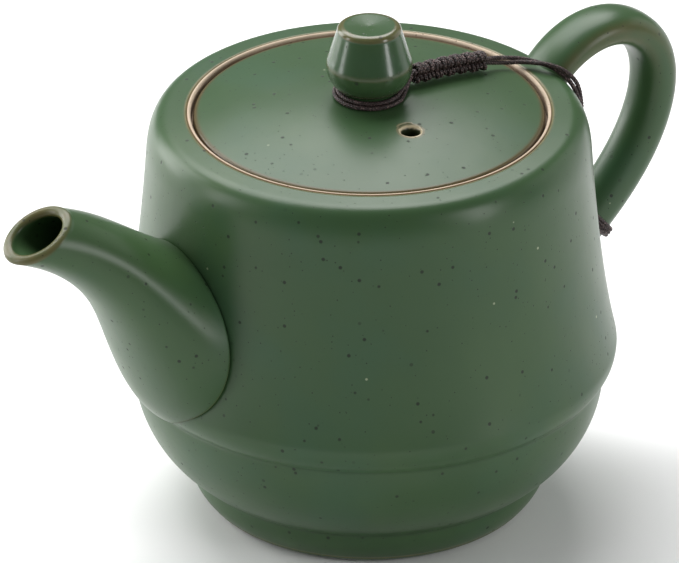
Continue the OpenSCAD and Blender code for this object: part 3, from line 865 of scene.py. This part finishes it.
def steam_hole(piece):
    """Cuts the hole through the lid, its mouth rounded over."""
    ring = [(0, 80), (steam_d / 2, 80), (steam_d / 2, dome_z(steam_r) - 0.75)]
    ring += bow((steam_lip_d / 2 + 0.35, dome_z(steam_r) + 0.25),
                (steam_d / 2, dome_z(steam_r) - 0.75), 0.22, 6)[::-1]
    ring += [(steam_lip_d / 2 + 0.35, 105), (0, 105)]
    cutter = turned("steam_cutter", ring, body_glaze, closed=False, segments=64, wobble=0.0)
    cutter.location = (steam_x * MM, steam_y * MM, 0)
    bpy.context.view_layer.update()
    cutter.data.transform(cutter.matrix_world)
    cutter.location = (0, 0, 0)
    cut = piece.modifiers.new("steam_hole", "BOOLEAN")
    cut.operation, cut.solver, cut.object = "DIFFERENCE", "EXACT", cutter
    depsgraph = bpy.context.evaluated_depsgraph_get()
    mesh = bpy.data.meshes.new_from_object(piece.evaluated_get(depsgraph))
    piece.modifiers.clear()
    piece.data = mesh
    bpy.data.objects.remove(cutter)
    return piece


lid = steam_hole(turned("lid_plate_glazed", lid_profile(), body_glaze, closed=False, segments=224))
edge_marks(lid)
lid.data.materials.clear()
hole = (steam_x * MM, steam_y * MM, 0)
lid.data.materials.append(ringed_glaze("lid_glaze", [
    (hole, (2.9 * MM, 3.5 * MM, 0.8, 0.0), (0.105, 0.095, 0.036, 1)),
    (hole, (2.6 * MM, 2.85 * MM, 1.0, 0.0), (0.50, 0.43, 0.28, 1)),
    (hole, (2.2 * MM, 2.4 * MM, 1.0, 0.0), (0.030, 0.040, 0.018, 1)),
    # The lid's edge rings: olive-brown, partly the glaze running thin and partly painted shade; then
    # near-black brown at the rim, a painted shadow of the gap between lid and seat.
    ((0, 0, 0), ((lid_r - 1.3) * MM, (lid_r - 0.4) * MM, 0.0, 0.8), (0.085, 0.060, 0.022, 1)),
    ((0, 0, 0), ((lid_r - 0.2) * MM, lid_r * MM, 0.0, 0.8), (0.045, 0.028, 0.012, 1))]))
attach(lid, "lid")
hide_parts("lid_plate")

flange_low_z = lid_base_z - 8
flange_profile = softened([
    (flange_inner_r, lid_base_z + 0.3), (flange_inner_r, flange_low_z + 0.8),
    (flange_inner_r + 0.8, flange_low_z),
    (flange_r - 0.8, flange_low_z), (flange_r, flange_low_z + 0.8), (flange_r, lid_base_z + 0.3),
    (flange_inner_r, lid_base_z + 0.3)], 0.3, 0.4)
flange = edge_marks(turned("lid_flange_bare", flange_profile, clay_material))
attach(flange, "lid")
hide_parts("lid_flange")

# ---- Knob -------------------------------------------------------------------
# Turned with the lid and dipped in the same glaze, which is glossier here. It flares
# from a waisted neck and tapers to a flat, slightly dished top with an olive edge.

knob_r, neck_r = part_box("knob")[1].x / MM, 6.0
knob_base_z, knob_top_z = dome_z(neck_r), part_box("knob")[1].z / MM
neck_h, round_h = 2.1, 5.4
knob_wide_z = knob_base_z + neck_h + round_h


def knob_profile():
    lower = bezier((neck_r, knob_base_z + neck_h), (neck_r + 1.3, knob_base_z + neck_h),
                   (knob_r, knob_wide_z - 2.9), (knob_r, knob_wide_z), 16)
    side = bezier((knob_r, knob_wide_z), (knob_r, knob_wide_z + 1), (knob_r - 0.35, knob_wide_z + 1.6),
                  (knob_r - 0.62, knob_wide_z + 2.5), 8)[1:]
    upper = bezier((7, knob_top_z - 1.4), (6.95, knob_top_z - 0.5), (6.5, knob_top_z - 0.05),
                   (5.4, knob_top_z - 0.02), 10)
    root = [(neck_r + 0.9, knob_base_z - 0.6), (neck_r, knob_base_z + 0.3)]
    skin = softened(root + lower + side + upper + [(0, knob_top_z - 0.3)], 0.22, 0.2)
    return [(0, knob_base_z - 1)] + skin


knob = edge_marks(turned("knob_glazed", knob_profile(), knob_glaze, closed=False, segments=160,
                         wobble=0.03), reach=2)
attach(knob, "lid")
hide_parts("knob")

# ---- Spout ------------------------------------------------------------------
# Pressed in a two-part mould and luted to the wall over the strainer. It swells at its
# root, curves like an S, and its lip is cut on the slant and rounded.

spout_top = np.array([[-34, 67.4], [-53, 70.7], [-60, 82.5], [-75.5, 88.5]])
spout_low = np.array([[-50.25, 30.8], [-65.5, 35], [-58, 68.2], [-90.2, 80.5]])
spout_widths = (19.5, 21.9, 10.8, 7.6)
spout_sides = 96


def skin_point(t, angle, inset=0.0):
    """A point of the spout's skin at station t, some way in from the outer surface."""
    top, low = cubic(spout_top, t), cubic(spout_low, t)
    middle, half = (top + low) / 2, (top - low) / 2
    tall = np.linalg.norm(half)
    spot = middle + half / tall * (tall - inset) * math.cos(angle)
    return np.array([spot[0], (cubic(spout_widths, t) - inset) * math.sin(angle), spot[1]])


def proud(point):
    """How far a point stands out from the body's wall."""
    return math.hypot(point[0], point[1]) - wall_r(point[2])


def root_station(angle, stand, inset=0.0):
    """The station at which the skin stands that far out from the wall."""
    low, high = 0.0, 0.6
    for _ in range(30):
        middle = (low + high) / 2
        if proud(skin_point(middle, angle, inset)) < stand:
            low = middle
        else:
            high = middle
    return low


def spout_mesh():
    angles = [-2 * math.pi * j / spout_sides for j in range(spout_sides)]
    starts = [root_station(v, 0.7) for v in angles]
    axis = np.array([-(spout_top[3] - spout_low[3])[1], 0, (spout_top[3] - spout_low[3])[0]])
    axis = axis / np.linalg.norm(axis)
    rings = []
    # The root turns under in a small round edge and goes on into the wall
    for drop, inset in ((-3.2, 1.5), (-0.6, 1.3), (0.05, 0.75), (0.3, 0.3), (0.55, 0.08)):
        ring = []
        for v, t in zip(angles, starts):
            edge = skin_point(t, v, inset)
            inward = np.array([-edge[0], -edge[1], 0]) / math.hypot(edge[0], edge[1])
            ring.append(edge + inward * (proud(edge) - drop))
        rings.append(ring)
    stations = 110
    for i in range(stations + 1):
        share = i / stations
        rings.append([skin_point(t + (1 - t) * share, v) for v, t in zip(angles, starts)])
    # The rounded lip
    for inset, out in ((0.12, 0.42), (0.4, 0.78), (0.8, 1.02), (1.25, 1.1), (1.7, 1.02), (2.1, 0.78),
                       (2.38, 0.42)):
        rings.append([skin_point(1, v, inset) + axis * out for v in angles])
    for i in range(60):
        share = 1 - i / 60
        rings.append([skin_point(t + (1 - t) * share, v, 2.5) for v, t in zip(angles, starts)])
    last = []
    for v, t in zip(angles, starts):
        edge = skin_point(t, v, 2.5)
        inward = np.array([-edge[0], -edge[1], 0]) / math.hypot(edge[0], edge[1])
        last.append(edge + inward * (proud(edge) + 3.2))
    rings.append(last)
    points = [p * MM for ring in rings for p in ring]
    faces = []
    for i in range(len(rings)):
        k = (i + 1) % len(rings)
        for j in range(spout_sides):
            n = (j + 1) % spout_sides
            faces.append((i * spout_sides + j, k * spout_sides + j, k * spout_sides + n, i * spout_sides + n))
    return points, faces


spout_glaze = green_glaze("spout_glaze", 0.0)
spout = edge_marks(mesh_piece("spout_glazed", *spout_mesh(), spout_glaze), reach=3, sharp=5.0)
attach(spout, "pot")
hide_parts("spout")

# ---- Strainer ---------------------------------------------------------------
# A pierced clay dome set in the wall behind the spout, glazed with the inside.

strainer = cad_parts["strainer"]
strainer.data.materials.clear()
strainer.data.materials.append(green_glaze("strainer_glaze", 0.4))

# ---- Handle -----------------------------------------------------------------
# A strap pulled by hand, bent into a loop and luted on at the shoulder and the belly.
# Its joins are smoothed into the wall, and the glaze runs over them.


def handle_mesh():
    stations, sides = 150, 48
    rings = []
    for i in range(stations + 1):
        ring = [strap_point(i / stations, 2 * math.pi * j / sides) / MM for j in range(sides)]
        depth = max(math.hypot(p[0], p[1]) - wall_r(p[2]) if p[2] < rim_z else 9 for p in ring)
        if depth > -2.5:
            rings.append(ring)
    points = [p * MM for ring in rings for p in ring]
    faces = [tuple(range(sides)), tuple((len(rings) - 1) * sides + j for j in range(sides - 1, -1, -1))]
    for i in range(len(rings) - 1):
        for j in range(sides):
            n = (j + 1) % sides
            faces.append((i * sides + j, (i + 1) * sides + j, (i + 1) * sides + n, i * sides + n))
    return points, faces


handle = edge_marks(mesh_piece("handle_glazed", *handle_mesh(), body_glaze))
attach(handle, "pot")
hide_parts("handle")
